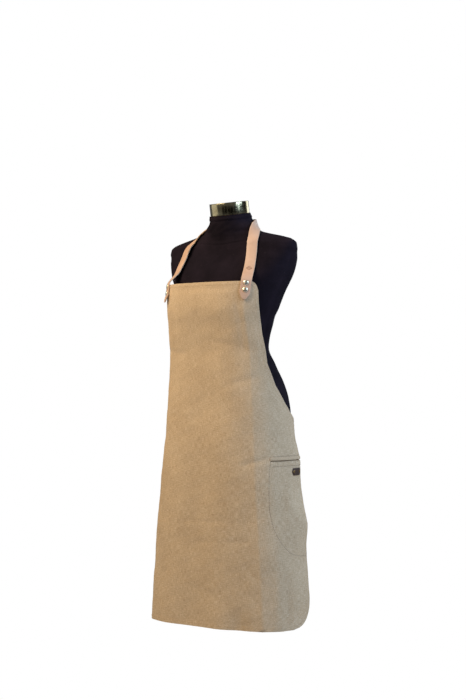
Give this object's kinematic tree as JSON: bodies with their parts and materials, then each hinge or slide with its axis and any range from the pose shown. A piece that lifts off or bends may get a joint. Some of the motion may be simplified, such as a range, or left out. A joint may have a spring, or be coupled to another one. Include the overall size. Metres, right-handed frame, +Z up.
{
  "type": "apron on dress form",
  "caption": "Canvas bib apron with riveted leather neck and waist straps and a slit side pocket, worn on a jersey covered dress form with a metal neck cap.",
  "frame": {"origin": "centre of the underside of the stand socket's flange, on the axis of the stand pole", "axes": "+Z up along the pole and the torso, -Y towards the wearer's front, +X towards the wearer's left"},
  "size_m": [0.4408, 0.2754, 1.1003],
  "materials": {
    "canvas": "tan melange canvas, plain weave",
    "leather": "natural vegetable tanned, raw edges",
    "dark_leather": "brown, smooth",
    "silver": "polished nickel with a warm tint",
    "antique_brass": "antique, dark",
    "brass": "brushed and lacquered",
    "jersey": "black knitted jersey",
    "foam": "moulded foam",
    "wood": "sanded birch",
    "steel": "zinc plated"
  },
  "bodies": {
    "form": {"torso_core": "foam", "torso_cover": "jersey", "base_board": "wood", "stand_socket": "steel", "base_screw_1": "steel", "base_screw_2": "steel", "base_screw_3": "steel", "base_screw_4": "steel", "neck_block": "wood"},
    "apron": {"apron_panel": "canvas", "pocket_bag": "canvas", "pocket_welt": "canvas", "pocket_facing": "canvas", "label": "dark_leather", "label_rivet_front": "antique_brass", "label_rivet_back": "antique_brass", "neck_strap": "leather", "bib_backing_left": "leather", "neck_rivet_left_upper": "silver", "neck_rivet_left_upper_cap": "silver", "neck_rivet_left_lower": "silver", "neck_rivet_left_lower_cap": "silver", "waist_rivet_left_upper": "silver", "waist_rivet_left_upper_cap": "silver", "waist_rivet_left_lower": "silver", "waist_rivet_left_lower_cap": "silver", "bib_backing_right": "leather", "neck_rivet_right_upper": "silver", "neck_rivet_right_upper_cap": "silver", "neck_rivet_right_lower": "silver", "neck_rivet_right_lower_cap": "silver", "waist_rivet_right_upper": "silver", "waist_rivet_right_upper_cap": "silver", "waist_rivet_right_lower": "silver", "waist_rivet_right_lower_cap": "silver", "waist_strap_buckle_side": "leather", "waist_strap_free_side": "leather", "buckle_frame": "brass"},
    "neck_cap": {"neck_cap": "brass", "neck_spigot": "steel"},
    "buckle_prong": {"buckle_prong": "brass"},
    "strap_keeper": {"strap_keeper": "leather"}
  },
  "joints": [
    {"name": "apron_lift", "type": "slide", "parent": "form", "child": "apron", "axis": [0, 0, 1], "range_m": [0, 0.1]},
    {"name": "neck_cap_lift", "type": "slide", "parent": "form", "child": "neck_cap", "axis": [0, -0.165, 0.9863], "range_m": [0, 0.04]},
    {"name": "buckle_prong_hinge", "type": "hinge", "parent": "apron", "child": "buckle_prong", "pos_m": [0.015, 0.1331, 0.097], "axis": [0, 0, -1], "range_deg": [0, 25]},
    {"name": "keeper_slide", "type": "slide", "parent": "apron", "child": "strap_keeper", "axis": [1, 0, 0], "range_m": [-0.0045, 0.005]}
  ]
}
